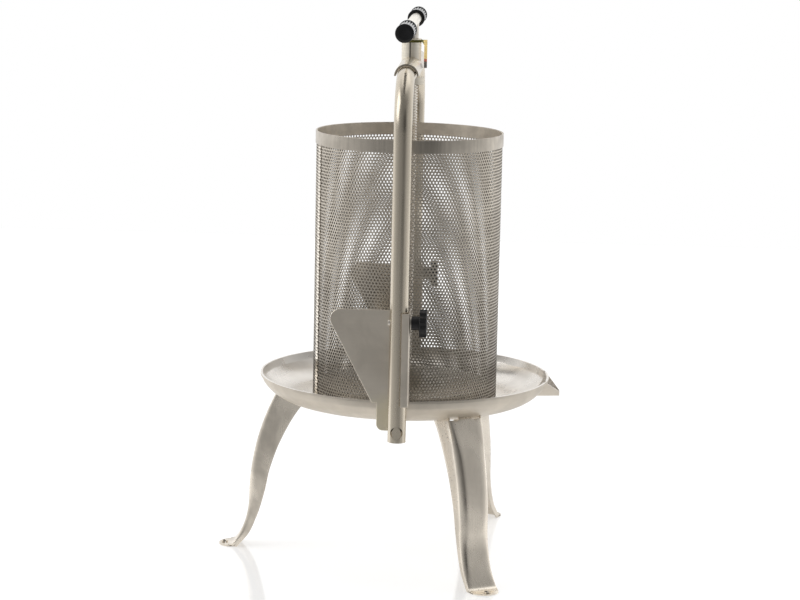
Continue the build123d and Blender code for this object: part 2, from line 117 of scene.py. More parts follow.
class StageSettings(bpy.types.PropertyGroup):
    """Camera, floor and light."""
    camera_place: FloatVectorProperty(name="Camera place", description="Where the camera stands", subtype="TRANSLATION",
                                      unit="LENGTH", default=(0.147, -3.573, 0.969))
    camera_turn: FloatProperty(name="Camera turn", description="Turn of the view to the left", subtype="ANGLE",
                               default=math.radians(2.5))
    camera_tilt: FloatProperty(name="Camera tilt", description="Tilt of the view below the horizon", subtype="ANGLE",
                               default=math.radians(9.51))
    camera_roll: FloatProperty(name="Camera roll", description="Roll of the camera about its view", subtype="ANGLE",
                               default=math.radians(1.2))
    lens: FloatProperty(name="Lens", description="Focal length on a 36 mm sensor", unit="CAMERA", default=112.9)
    floor: FloatVectorProperty(name="Floor", description="Colour of the floor", subtype="COLOR",
                               default=(0.85, 0.85, 0.85), min=0, max=1)


class PressSettings(bpy.types.PropertyGroup):
    """All settings of the press."""
    sizes: PointerProperty(type=PressSizes)
    colours: PointerProperty(type=PressColours)
    stage: PointerProperty(type=StageSettings)


# Node building

def feed(tree, socket, value):
    """Links a socket to another one, or sets its value."""
    if isinstance(value, bpy.types.NodeSocket):
        tree.links.new(value, socket)
    else:
        socket.default_value = value


def add_node(tree, kind, settings=None, in_order=(), **by_name):
    """A shader node with its settings, and its sockets fed in order or by name."""
    made = tree.nodes.new(kind)
    for name, value in (settings or {}).items():
        setattr(made, name, value)
    for socket, value in zip(made.inputs, in_order):
        feed(tree, socket, value)
    for name, value in by_name.items():
        feed(tree, made.inputs[name.replace("_", " ")], value)
    return made


def maths(tree, operation, *values, clamp=False):
    """Result of a Math node."""
    return add_node(tree, "ShaderNodeMath", {"operation": operation, "use_clamp": clamp}, values).outputs[0]


def vector_maths(tree, operation, *values):
    """Outputs of a Vector Math node."""
    return add_node(tree, "ShaderNodeVectorMath", {"operation": operation}, values).outputs


def axes(tree, vector):
    """X, Y and Z of a vector."""
    return add_node(tree, "ShaderNodeSeparateXYZ", Vector=vector).outputs


def span(tree, value, low, high, to_low=0.0, to_high=1.0):
    """Value carried from one range to another, smoothly."""
    made = add_node(tree, "ShaderNodeMapRange", {"interpolation_type": "SMOOTHSTEP"}, Value=value, From_Min=low,
                    From_Max=high, To_Min=to_low, To_Max=to_high)
    return made.outputs["Result"]


def mix_colour(tree, factor, first, second):
    """Two colours mixed by a factor. A Mix node has its colour sockets after those for numbers and vectors."""
    made = add_node(tree, "ShaderNodeMix", {"data_type": "RGBA"})
    for index, value in ((0, factor), (6, first), (7, second)):
        feed(tree, made.inputs[index], value)
    return made.outputs[2]


def colour_ramp(tree, factor, stops, interpolation="LINEAR"):
    """Colour of a ramp with stops of (place, colour)."""
    made = add_node(tree, "ShaderNodeValToRGB", Fac=factor)
    ramp = made.color_ramp
    ramp.interpolation = interpolation
    ramp.elements.remove(ramp.elements[1])
    ramp.elements[0].position, ramp.elements[0].color = stops[0]
    for place, colour in stops[1:]:
        ramp.elements.new(place).color = colour
    return made.outputs["Color"]


def rays_seen(tree, mirrored=1.0):
    """Mask of the rays that see the white background: the camera's, those through clear pieces and a share of the
    mirrored ones. Also gives the mask of the camera's rays alone."""
    path = tree.nodes.new("ShaderNodeLightPath").outputs
    glossy = maths(tree, "MULTIPLY", path["Is Glossy Ray"], mirrored)
    seen = maths(tree, "ADD", path["Is Camera Ray"], glossy, clamp=True)
    return maths(tree, "ADD", seen, path["Is Transmission Ray"], clamp=True), path["Is Camera Ray"]


def grey(level):
    """Grey for a node's socket."""
    return (level, level, level, 1.0)


def rgba(colour, level=1.0):
    """Colour at a level, for a node's socket."""
    return (colour[0] * level, colour[1] * level, colour[2] * level, 1.0)


def toned(colour, level):
    """Colour made lighter or darker."""
    return [min(1.0, part * level) for part in colour]


def new_group(name, inputs, outputs):
    """Empty shader node group; returns its tree, the sockets it is given and those it puts out."""
    tree = bpy.data.node_groups.new(name, "ShaderNodeTree")
    for label, kind, value in inputs:
        socket = tree.interface.new_socket(label, in_out="INPUT", socket_type=kind)
        if value is not None:
            socket.default_value = value
    for label in outputs:
        tree.interface.new_socket(label, in_out="OUTPUT", socket_type="NodeSocketFloat")
    return tree, tree.nodes.new("NodeGroupInput").outputs, tree.nodes.new("NodeGroupOutput").inputs


def rolling_lines_group():
    """Fine lines along one axis, as rolling, drawing or brushing leaves them."""
    tree, given, put = new_group("rolling_lines", [
        ("Vector", "NodeSocketVector", None), ("Stretch", "NodeSocketVector", (1.0, 1.0, 1.0))], ["Lines"])
    drawn = vector_maths(tree, "MULTIPLY", given["Vector"], given["Stretch"])["Vector"]
    noise = add_node(tree, "ShaderNodeTexNoise", Vector=drawn, Scale=1.0, Detail=3.0, Roughness=0.6)
    tree.links.new(noise.outputs["Fac"], put["Lines"])
    return tree


def handling_marks_group():
    """Cloudy smudges and small dark specks that handling and welding leave."""
    tree, given, put = new_group("handling_marks", [
        ("Vector", "NodeSocketVector", None), ("Cloud Scale", "NodeSocketFloat", 14.0),
        ("Speck Scale", "NodeSocketFloat", 220.0), ("Speck Share", "NodeSocketFloat", 0.1)], ["Clouds", "Specks"])
    cloud = add_node(tree, "ShaderNodeTexNoise", Vector=given["Vector"], Scale=given["Cloud Scale"], Detail=4.0,
                     Roughness=0.55, Distortion=0.4)
    tree.links.new(span(tree, cloud.outputs["Fac"], 0.36, 0.68), put["Clouds"])
    cells = add_node(tree, "ShaderNodeTexVoronoi", Vector=given["Vector"], Scale=given["Speck Scale"])
    chosen = add_node(tree, "ShaderNodeSeparateColor", Color=cells.outputs["Color"])
    size = maths(tree, "MULTIPLY", chosen.outputs[1], 0.26)
    near = maths(tree, "LESS_THAN", cells.outputs["Distance"], size)
    cluster = add_node(tree, "ShaderNodeTexNoise", Vector=given["Vector"], Scale=26.0, Detail=2.0)
    share = maths(tree, "MULTIPLY", span(tree, cluster.outputs["Fac"], 0.42, 0.7), given["Speck Share"])
    kept = maths(tree, "LESS_THAN", chosen.outputs[0], share)
    tree.links.new(maths(tree, "MULTIPLY", near, kept), put["Specks"])
    return tree


def weld_heat_group():
    """Mask that fades with the distance from a welded place, with a ragged edge."""
    tree, given, put = new_group("weld_heat", [
        ("Vector", "NodeSocketVector", None), ("Place", "NodeSocketVector", (0.0, 0.0, 0.0)),
        ("Reach", "NodeSocketFloat", 0.03)], ["Heat"])
    away = vector_maths(tree, "DISTANCE", given["Vector"], given["Place"])["Value"]
    cloud = add_node(tree, "ShaderNodeTexNoise", Vector=given["Vector"], Scale=70.0, Detail=3.0)
    ragged = maths(tree, "ADD", away, maths(tree, "MULTIPLY_ADD", cloud.outputs["Fac"], 0.02, -0.01))
    share = maths(tree, "DIVIDE", ragged, given["Reach"])
    tree.links.new(span(tree, share, 0.25, 1.0, 1.0, 0.0), put["Heat"])
    return tree


EFFECTS = {"rolling_lines": rolling_lines_group, "handling_marks": handling_marks_group, "weld_heat": weld_heat_group}


def effect(tree, name, **inputs):
    """Outputs of an effect's node group, which is built once."""
    group = bpy.data.node_groups.get(name) or EFFECTS[name]()
    return add_node(tree, "ShaderNodeGroup", {"node_tree": group}, **inputs).outputs


def new_material(name):
    """Material with a bare Principled shader and Object coordinates."""
    material = bpy.data.materials.new(name)
    material.use_nodes = True
    tree = material.node_tree
    tree.nodes.clear()
    shader = tree.nodes.new("ShaderNodeBsdfPrincipled")
    end = tree.nodes.new("ShaderNodeOutputMaterial")
    tree.links.new(shader.outputs["BSDF"], end.inputs["Surface"])
    place = tree.nodes.new("ShaderNodeTexCoord").outputs["Object"]
    return material, tree, shader, place


def add_relief(tree, shader, height, strength, depth):
    """Fine relief in a surface."""
    bump = add_node(tree, "ShaderNodeBump", Strength=strength, Distance=depth, Height=height)
    tree.links.new(bump.outputs["Normal"], shader.inputs["Normal"])


# Finishes

# The second level darkens a painted dark reflection line up the front of a turned part
SMUDGE_LEVEL, PAINTED_LINE_LEVEL = 0.45, 0.2
SPECK_COLOUR, SPECK_STRENGTH = (0.06, 0.05, 0.045, 1.0), 0.75
# Colour of painted shade that darkens a surface towards its foot
FOOT_SHADE_COLOUR = (0.05, 0.04, 0.03, 1.0)
HEAT_MATT, HEAT_DULL = 0.25, 0.4
# The outer side of a dish is darkened as painted shade, and made rougher
OUTSIDE_DOWN, OUTSIDE_MATT = (0.0, 0.0, -0.2), 0.22
DUST_SHARE, DUST_LEVEL, DUST_MATT = 0.5, 2.2, 0.15
TAG_WEAR, TAG_WEAR_SHARE = (0.85, 0.75, 0.5, 1.0), 0.3
TAG_BAND_START, TAG_BAND_END = 0.13, 0.24
LOOP_END, STRIP_START = 0.0165, 0.0172


def steel_finish(name, colour, stretch, rough, rough_spread=0.12, clouds=0.16, specks=0.0, lines=0.12, bump=0.00004,
                 cloud_scale=14.0, speck_scale=220.0, heat=None, heat_colour=None, seam=None, foot_shade=None,
                 outer_shade=None):
    """Bare steel with rolling lines, smudges and specks; also heat tint beside welds, a painted dark reflection line
    up the front, painted shade towards the foot, and painted shade on the duller outer side of a dish."""
    made = bpy.data.materials.get(name)
    if made:
        return made
    material, tree, shader, place = new_material(name)
    grain = effect(tree, "rolling_lines", Vector=place, Stretch=stretch)["Lines"]
    marks = effect(tree, "handling_marks", Vector=place, Cloud_Scale=cloud_scale, Speck_Scale=speck_scale,
                   Speck_Share=specks)
    lined = mix_colour(tree, span(tree, grain, 0.3, 0.7), rgba(colour, 1.0 - lines), rgba(colour, 1.0 + lines / 2))
    smudged = mix_colour(tree, maths(tree, "MULTIPLY", marks["Clouds"], clouds), lined, rgba(colour, SMUDGE_LEVEL))
    tone = mix_colour(tree, maths(tree, "MULTIPLY", marks["Specks"], SPECK_STRENGTH), smudged, SPECK_COLOUR)
    worn = maths(tree, "MULTIPLY_ADD", grain, rough_spread,
                 maths(tree, "MULTIPLY_ADD", marks["Clouds"], rough_spread, rough))
    shader.inputs["Metallic"].default_value = 1.0
    if heat:
        spot, reach, amount = heat
        tint = effect(tree, "weld_heat", Vector=place, Place=spot, Reach=reach)["Heat"]
        tone = mix_colour(tree, maths(tree, "MULTIPLY", tint, amount), tone, rgba(heat_colour))
        worn = maths(tree, "MULTIPLY_ADD", tint, HEAT_MATT, worn)
        tree.links.new(maths(tree, "MULTIPLY_ADD", tint, -HEAT_DULL, 1.0), shader.inputs["Metallic"])
    # Painted dark reflection: a dark upright line on the part's front half
    if seam:
        middle, half = seam
        spot = axes(tree, place)
        beside = maths(tree, "ABSOLUTE", maths(tree, "SUBTRACT", spot["X"], middle))
        line = maths(tree, "MULTIPLY", span(tree, beside, half / 2, half, 1.0, 0.0),
                     maths(tree, "LESS_THAN", spot["Y"], 0.0))
        tone = mix_colour(tree, line, tone, rgba(colour, PAINTED_LINE_LEVEL))
    # Painted shade, darker towards the foot of the part
    if foot_shade:
        low, high, share = foot_shade
        tone = mix_colour(tree, span(tree, axes(tree, place)["Z"], low, high, share, 0.0), tone, FOOT_SHADE_COLOUR)
    # Painted shade on faces that point outwards and down, which are also made rougher
    if outer_shade:
        normal = tree.nodes.new("ShaderNodeNewGeometry").outputs["Normal"]
        away = vector_maths(tree, "MULTIPLY_ADD", place, (1.0, 1.0, 0.0), OUTSIDE_DOWN)["Vector"]
        outer = span(tree, vector_maths(tree, "DOT_PRODUCT", away, normal)["Value"], -0.02, 0.06)
        shade = mix_colour(tree, outer, grey(1.0), rgba([a / b for a, b in zip(outer_shade, colour)]))
        tone = vector_maths(tree, "MULTIPLY", tone, shade)["Vector"]
        worn = maths(tree, "MULTIPLY_ADD", outer, OUTSIDE_MATT, worn)
    tree.links.new(tone, shader.inputs["Base Color"])
    tree.links.new(worn, shader.inputs["Roughness"])
    add_relief(tree, shader, grain, 0.35, bump)
    return material


def small_steel(colours):
    """Steel of the pins, screws, washers and bushes."""
    return steel_finish("small_steel", colours.machined, (200.0, 200.0, 200.0), 0.3, clouds=0.15)


def plastic_finish(name, colour, rough, grain_depth):
    """Moulded black plastic with a fine grain and dusty clouds."""
    material, tree, shader, place = new_material(name)
    clouds = effect(tree, "handling_marks", Vector=place, Cloud_Scale=60.0, Speck_Scale=500.0,
                    Speck_Share=0.0)["Clouds"]
    dusty = mix_colour(tree, maths(tree, "MULTIPLY", clouds, DUST_SHARE), rgba(colour), rgba(colour, DUST_LEVEL))
    tree.links.new(dusty, shader.inputs["Base Color"])
    tree.links.new(maths(tree, "MULTIPLY_ADD", clouds, DUST_MATT, rough), shader.inputs["Roughness"])
    grain = add_node(tree, "ShaderNodeTexNoise", Vector=place, Scale=1500.0, Detail=2.0)
    add_relief(tree, shader, grain.outputs["Fac"], 0.25, grain_depth)
    return material


def tag_finish(colours):
    """Strip in three plain colours with worn patches, and the loop that it hangs on, coloured dark olive as the yellow
    strap in painted shade.
    """
    material, tree, shader, place = new_material("tag_strip")
    low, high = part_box("hang_tag")
    spot = axes(tree, place)
    bands = colour_ramp(tree, span(tree, spot["Z"], low[2], high[2]), [
        (0.0, rgba(colours.tag_end)), (TAG_BAND_START, rgba(colours.tag_band)), (TAG_BAND_END, rgba(colours.tag))],
        "CONSTANT")
    clouds = effect(tree, "handling_marks", Vector=place, Cloud_Scale=180.0, Speck_Scale=900.0,
                    Speck_Share=0.0)["Clouds"]
    worn = mix_colour(tree, maths(tree, "MULTIPLY", clouds, TAG_WEAR_SHARE), bands, TAG_WEAR)
    # The loop takes the painted shade colour, the strip its own bands
    tone = mix_colour(tree, span(tree, spot["X"], LOOP_END, STRIP_START), rgba(colours.tag_loop_shade), worn)
    tree.links.new(tone, shader.inputs["Base Color"])
    shader.inputs["Roughness"].default_value = 0.5
    shader.inputs["IOR"].default_value = 1.1
    shader.inputs["Transmission Weight"].default_value = 0.7
    return material


# Mesh building

def node_copy(node):
    """A solid's mesh with its loose triangles joined and its flat faces made whole."""
    bm = bmesh.new()
    bm.from_mesh(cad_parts[node].data)
    bmesh.ops.remove_doubles(bm, verts=bm.verts[:], dist=2e-6)
    bmesh.ops.dissolve_limit(bm, angle_limit=math.radians(0.2), use_dissolve_boundaries=False, verts=bm.verts[:],
                             edges=bm.edges[:])
    return bm


def round_edges(bm, width, sharpest=35.0, left_of=math.inf):
    """Rounds the edges that are sharper than an angle in degrees and lie left of a place."""
    limit = math.radians(sharpest)
    edges = [edge for edge in bm.edges if edge.is_manifold and edge.calc_face_angle() > limit
             and all(vert.co.x < left_of for vert in edge.verts)]
    bmesh.ops.bevel(bm, geom=edges, offset=width, offset_type="OFFSET", segments=2, profile=0.5, affect="EDGES",
                    clamp_overlap=True, material=-1)
    bmesh.ops.remove_doubles(bm, verts=bm.verts[:], dist=3e-6)


def whole(bm):
    """All that a mesh holds."""
    return bm.verts[:] + bm.edges[:] + bm.faces[:]


def edges_at(verts):
    """Edges that meet some corners."""
    return list({edge for vert in verts for edge in vert.link_edges})


def open_edges(bm):
    """Edges where a mesh is open."""
    return [edge for edge in bm.edges if edge.is_boundary]


def push_out(bm, edges, way):
    """Extrudes edges along a way and returns what was made."""
    made = bmesh.ops.extrude_edge_only(bm, edges=edges)["geom"]
    bmesh.ops.translate(bm, vec=way, verts=[item for item in made if isinstance(item, bmesh.types.BMVert)])
    return made


def turned(bm, points, centre=(0, 0, 0), axis=(0, 0, 1), steps=64):
    """Turns an open profile of (radius, place along the axis) into a round shape."""
    way, out, middle = Vector(axis), Vector((1, 0, 0)), Vector(centre)
    verts = [bm.verts.new(middle + out * radius + way * along) for radius, along in points]
    edges = [bm.edges.new(pair) for pair in zip(verts[:-1], verts[1:])]
    bmesh.ops.spin(bm, geom=verts + edges, cent=middle, axis=way, dvec=(0, 0, 0), angle=2 * math.pi, steps=steps,
                   use_merge=True, use_duplicate=False)


def close_up(bm, join=1e-6):
    """Joins doubles and turns the faces outwards."""
    bmesh.ops.remove_doubles(bm, verts=bm.verts[:], dist=join)
    bmesh.ops.dissolve_degenerate(bm, dist=1e-7, edges=bm.edges[:])
    bmesh.ops.recalc_face_normals(bm, faces=bm.faces[:])


def make_piece(name, bm, material, body, nodes, crease=40.0, flat=False):
    """Piece from its mesh: shading, material, the body it rides on and the nodes it stands for."""
    mesh = bpy.data.meshes.new(name)
    bm.to_mesh(mesh)
    bm.free()
    if flat:
        mesh.shade_flat()
    else:
        mesh.shade_smooth()
        mesh.set_sharp_from_angle(angle=math.radians(crease))
    mesh.materials.append(material)
    piece = bpy.data.objects.new(name, mesh)
    bpy.context.scene.collection.objects.link(piece)
    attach(piece, body)
    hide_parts(*nodes)
    return piece


def keep_flats(piece):
    """Keeps flat faces flat in the shading beside rounded edges."""
    modifier = piece.modifiers.new("Flats", "WEIGHTED_NORMAL")
    modifier.keep_sharp = True


def thicken(piece, thickness, *others):
    """Gives a surface the thickness of its sheet, inwards, and further materials for the faces that ask for them."""
    for material in others:
        piece.data.materials.append(material)
    wall = piece.modifiers.new("Sheet", "SOLIDIFY")
    wall.thickness = thickness
    wall.offset = -1.0
    return wall


def dress_node(name, node, material, body, width, sharpest=35.0):
    """A solid with its edges rounded."""
    bm = node_copy(node)
    round_edges(bm, width, sharpest)
    piece = make_piece(name, bm, material, body, [node])
    keep_flats(piece)
    return piece


# Legs: turns in degrees, the tone level (painted light, as lighter copies of the sheet colour), smudges and specks of
# web and flange, and shapes in metres

LEG_TURNS = {"leg_left": 180.0, "leg_front": -60.0, "leg_rear": 60.0}
# Tone levels for each leg and for web and flange are painted light: lighter copies of one sheet colour
LEG_LIGHT_AND_MARKS = {"leg_left": ((1.34, 0.5, 0.06), (1.34, 0.5, 0.06)), "leg_front": ((1.48, 0.2, 0.12), (1.15, 0.25, 1.0)),
             "leg_rear": ((1.15, 0.25, 0.1), (1.15, 0.25, 0.1))}
ANKLE_RADIUS, ANKLE_HEIGHT = 0.22332, 0.075
HIP_RADIUS, SHIN_RADIUS, TOE_RADIUS = 0.340, 0.120, 0.012
SHIN_TURN = 0.60018
FOOT_TOP, LEG_HEIGHT, EDGE_DROP = 0.002, 0.2635, 0.0017
FLAT_START, TOE_END, TOE_HOLE, TOE_HOLE_RADIUS = 0.2542, 0.2682, 0.260, 0.0045
TOE_ROUND, TOE_ROUND_CENTRE = 0.022, 0.2462
TOE_ROWS = (0.2549, 0.2574, TOE_HOLE, 0.2626, 0.2651, 0.2668, 0.2677, TOE_END)
LEG_ROWS, ROW_CROWDING = 72, 0.22
LEG_WIDTHS = ((0.0, 0.044), (0.075, 0.044), (0.150, 0.047), (0.2645, 0.055))
FLANGE_EDGE = ((0.0, 0.24032), (0.020, 0.2236), (0.040, 0.21404), (0.075, 0.2040), (0.110, 0.19652),
               (0.160, 0.1782), (0.208, 0.15223), (0.2635, 0.10628))
FOLD_AT_FOOT, FOLD_GROWTH, FOLD_LIMIT = 0.08, 0.04, 0.45
FOLD_AT_TRAY, TRAY_FOLD_HEIGHT, FOLD_FADE = 0.4, 0.235, 0.09
TAB_HALF, TAB_HEIGHT, SLOT_HEIGHT, SLOT_END = 0.008, 0.233, 0.003, 1 + 1 / 3
TRAY_FLAT, TRAY_CORNER, TRAY_UNDERSIDE, TRAY_GAP = 0.15656, 0.058, 0.227, 0.0001


def between(table, at):
    """Value at a place in a table of pairs, on straight lines between them."""
    for (x0, y0), (x1, y1) in zip(table[:-1], table[1:]):
        if at <= x1:
            return y0 + (y1 - y0) * (at - x0) / (x1 - x0)
    return table[-1][1]


def smooth_between(table, at):
    """Value at a place in a table of pairs, on a curve through them."""
    spots = [x for x, _ in table]
    index = max(0, min(len(table) - 2, sum(1 for x in spots[1:-1] if x <= at)))
    x1, y1 = table[index]
    x2, y2 = table[index + 1]
    x0, y0 = table[index - 1] if index else (2 * x1 - x2, 2 * y1 - y2)
    x3, y3 = table[index + 2] if index + 2 < len(table) else (2 * x2 - x1, 2 * y2 - y1)
    run = x2 - x1
    start = (y2 - y0) / (x2 - x0) * run
    end = (y3 - y1) / (x3 - x1) * run
    t = (at - x1) / run
    return ((2 * t ** 3 - 3 * t ** 2 + 1) * y1 + (t ** 3 - 2 * t ** 2 + t) * start
            + (3 * t ** 2 - 2 * t ** 3) * y2 + (t ** 3 - t ** 2) * end)


def leg_outer_radius(height):
    """Distance of the leg's outer face from the press's axis at a height."""
    if height >= ANKLE_HEIGHT:
        return ANKLE_RADIUS - HIP_RADIUS + math.sqrt(HIP_RADIUS ** 2 - (height - ANKLE_HEIGHT) ** 2)
    toe_top = FOOT_TOP + TOE_RADIUS - TOE_RADIUS * math.sin(SHIN_TURN)
    if height >= toe_top:
        return ANKLE_RADIUS + SHIN_RADIUS - math.sqrt(SHIN_RADIUS ** 2 - (ANKLE_HEIGHT - height) ** 2)
    drop = FOOT_TOP + TOE_RADIUS - height
    return FLAT_START - math.sqrt(max(0.0, TOE_RADIUS ** 2 - drop ** 2))


def leg_half_width(height, radius):
    """Half of the leg's width, which ends in a round toe."""
    half = between(LEG_WIDTHS, height) / 2
    if radius > TOE_ROUND_CENTRE:
        half = min(half, math.sqrt(max(0.0, TOE_ROUND ** 2 - (radius - TOE_ROUND_CENTRE) ** 2)))
    return half


def tray_underside(radius):
    """Height of the tray's underside at a distance from the axis."""
    if radius <= TRAY_FLAT:
        return TRAY_UNDERSIDE
    return TRAY_UNDERSIDE + TRAY_CORNER - math.sqrt(max(0.0, TRAY_CORNER ** 2 - (radius - TRAY_FLAT) ** 2))


def leg_point(height, column, bend):
    """Point of the leg's outer face: column 0 to 1 is the web, 1 to 2 the fold and 2 to 3 the flange."""
    outer = leg_outer_radius(height)
    edge_height = height - EDGE_DROP * (LEG_HEIGHT - height) / (LEG_HEIGHT - FOOT_TOP)
    inner = smooth_between(FLANGE_EDGE, max(0.0, edge_height))
    half = leg_half_width(height, outer)
    way = Vector((inner - outer, 0.0, edge_height - height))
    depth = way.length
    way = way / depth
    fold = bend * min(1.0, FOLD_AT_FOOT + (height - FOOT_TOP) / FOLD_GROWTH,
                      FOLD_AT_TRAY + (TRAY_FOLD_HEIGHT - height) / FOLD_FADE)
    fold = min(fold, depth * FOLD_LIMIT, half * FOLD_LIMIT)
    start = Vector((outer, 0.0, height))
    if column <= 1.0:
        return start + Vector((0.0, (half - fold) * column, 0.0))
    if column <= 2.0:
        turn = (column - 1.0) * math.pi / 2
        return start + way * fold * (1 - math.cos(turn)) + Vector((0.0, half - fold + fold * math.sin(turn), 0.0))
    spot = start + way * (fold + (depth - fold) * (column - 2.0))
    spot.y = leg_half_width(spot.z, spot.x) if spot.x < TOE_ROUND_CENTRE else half
    return spot


def leg_top(column, bend):
    """Height where a column of the leg meets the tray, found by halving."""
    low, high = 0.18, LEG_HEIGHT
    for _ in range(40):
        middle = (low + high) / 2
        spot = leg_point(middle, column, bend)
        if spot.z > tray_underside(math.hypot(spot.x, spot.y)) - TRAY_GAP:
            high = middle
        else:
            low = middle
    return low


def leg_spot(row, column, top, bend):
    """Point in a row of the leg's sheet: the top edge, the curved part under the slots, or the flat toe."""
    if row == 0:
        return leg_point(top, column, bend)
    if row < LEG_ROWS + 2:
        share = (row - 1) / LEG_ROWS
        fall = share + ROW_CROWDING * share * (1 - share)
        start = top - SLOT_HEIGHT
        return leg_point(start - (start - FOOT_TOP) * fall, column, bend)
    radius = TOE_ROWS[row - LEG_ROWS - 2]
    return Vector((radius, leg_half_width(FOOT_TOP, radius) * min(1.0, column), FOOT_TOP))


def cut_slots(bm, lines, columns, tab):
    """Opens a slot on each side of the tab that meets the tray."""
    cut = set()
    for index, pair in enumerate(zip(columns[:-1], columns[1:])):
        if tab < abs(sum(pair) / 2) < SLOT_END:
            cut.update(face for face in lines[0][index].link_faces if lines[1][index + 1] in face.verts)
    bmesh.ops.delete(bm, geom=list(cut), context="FACES_ONLY")


def punch_toe(bm, lines, middle):
    """Bolt hole in the flat toe."""
    row = LEG_ROWS + 2 + TOE_ROWS.index(TOE_HOLE)
    around = [lines[row + up][middle + over] for up in (-1, 0, 1) for over in (-1, 0, 1)]
    centre = lines[row][middle]
    ring = [edge for edge in edges_at(around) if all(vert in around and vert != centre for vert in edge.verts)]
    bmesh.ops.delete(bm, geom=[centre], context="VERTS")
    circle = bmesh.ops.create_circle(bm, cap_ends=False, segments=16, radius=TOE_HOLE_RADIUS,
                                     matrix=Matrix.Translation((TOE_HOLE, 0.0, FOOT_TOP)))
    bmesh.ops.bridge_loops(bm, edges=ring + edges_at(circle["verts"]))


def leg_mesh(sizes):
    """Folded sheet of one leg that points along +X, as the outer face of its sheet."""
    bend = sizes.leg_bend
    tab = TAB_HALF / (leg_half_width(TAB_HEIGHT, leg_outer_radius(TAB_HEIGHT)) - bend)
    right = [0.0, tab / 2, tab, (1 + tab) / 2, 1.0, SLOT_END, 1 + 2 / 3, 2.0, 2.2, 2.4, 2.6, 2.8, 3.0]
    columns = [-value for value in reversed(right[1:])] + right
    tops = {reach: leg_top(reach, bend) for reach in right}
    bm = bmesh.new()
    bmesh.ops.create_grid(bm, x_segments=len(columns) - 1, y_segments=LEG_ROWS + 1 + len(TOE_ROWS), size=0.5)
    grid = sorted(bm.verts, key=lambda vert: (round(vert.co.y, 6), round(vert.co.x, 6)))
    lines = [grid[index:index + len(columns)] for index in range(0, len(grid), len(columns))]
    reaches = {}
    for row, line in enumerate(lines):
        for vert, column in zip(line, columns):
            reach = reaches[vert] = abs(column)
            spot = leg_spot(row, reach, tops[reach], bend)
            vert.co = (spot.x, math.copysign(spot.y, column), spot.z)
    for face in bm.faces:
        face.material_index = int(min(reaches[vert] for vert in face.verts) >= 2.0)
    cut_slots(bm, lines, columns, tab)
    punch_toe(bm, lines, len(right) - 1)
    close_up(bm, join=2e-6)
    probe = max(bm.faces, key=lambda face: face.calc_center_median().z - abs(face.calc_center_median().y))
    if probe.normal.x < 0:
        bmesh.ops.reverse_faces(bm, faces=bm.faces[:])
    return bm


# Basket

PUNCHED, MARGIN = 1, 2
HOLE_SIDES = 8


def perforated_wall(sizes, hole, radius, low, high, turn, around):
    """Part of a round perforated wall, some columns wide: staggered rows of holes between two plain margins."""
    half = math.pi / sizes.hole_columns
    row = sizes.row_height
    bm = bmesh.new()
    bmesh.ops.create_grid(bm, x_segments=2, y_segments=2, size=0.5)
    bmesh.ops.delete(bm, geom=[min(bm.verts, key=lambda v: v.co.length)], context="VERTS")
    bmesh.ops.scale(bm, vec=(2 * radius * math.sin(half), row, 1.0), verts=bm.verts[:])
    corner = math.pi / HOLE_SIDES
    bmesh.ops.create_circle(bm, cap_ends=False, segments=HOLE_SIDES, matrix=Matrix.Rotation(corner, 4, "Z"),
                            radius=hole / 2 / math.cos(corner))
    bmesh.ops.bridge_loops(bm, edges=bm.edges[:])
    upright = Matrix(((0, 0, 1, 0), (1, 0, 0, 0), (0, 1, 0, 0), (0, 0, 0, 1)))
    bmesh.ops.transform(bm, matrix=upright, verts=bm.verts[:])
    for vert in bm.verts:
        vert.co.x = math.sqrt(radius ** 2 - vert.co.y ** 2)
    holes_low = low + sizes.foot_margin
    holes_high = holes_low + 2 * row * sizes.row_pairs
    bmesh.ops.translate(bm, vec=(0, 0, holes_low + row / 2), verts=bm.verts[:])
    copy = bmesh.ops.duplicate(bm, geom=whole(bm))
    lifted = [item for item in copy["geom"] if isinstance(item, bmesh.types.BMVert)]
    shift = Matrix.Translation((0, 0, row)) @ Matrix.Rotation(half, 4, "Z")
    bmesh.ops.transform(bm, matrix=shift, verts=lifted)
    for angle, rise, steps in ((0.0, 2 * row, sizes.row_pairs - 1), (2 * half * (around - 1), 0.0, around - 1)):
        bmesh.ops.spin(bm, geom=whole(bm), cent=(0, 0, 0), axis=(0, 0, 1), dvec=(0, 0, rise), angle=angle, steps=steps,
                       use_duplicate=True)
    bmesh.ops.remove_doubles(bm, verts=bm.verts[:], dist=2e-5)
    for level, target, look in ((holes_low, low, 0), (holes_high, high, MARGIN)):
        ends = [edge for edge in bm.edges if all(abs(vert.co.z - level) < 1e-5 for vert in edge.verts)]
        for face in push_out(bm, ends, (0, 0, target - level)):
            if isinstance(face, bmesh.types.BMFace):
                face.material_index = look
    bmesh.ops.rotate(bm, cent=(0, 0, 0), matrix=Matrix.Rotation(turn, 3, "Z"), verts=bm.verts[:])
    bmesh.ops.recalc_face_normals(bm, faces=bm.faces[:])
    bm.faces.ensure_lookup_table()
    centre = bm.faces[0].calc_center_median()
    if bm.faces[0].normal.dot(Vector((centre.x, centre.y, 0.0))) < 0:
        bmesh.ops.reverse_faces(bm, faces=bm.faces[:])
    return bm


# Stage: levels of the studio's walls by angle from the camera's side, its other parts, and the lamps

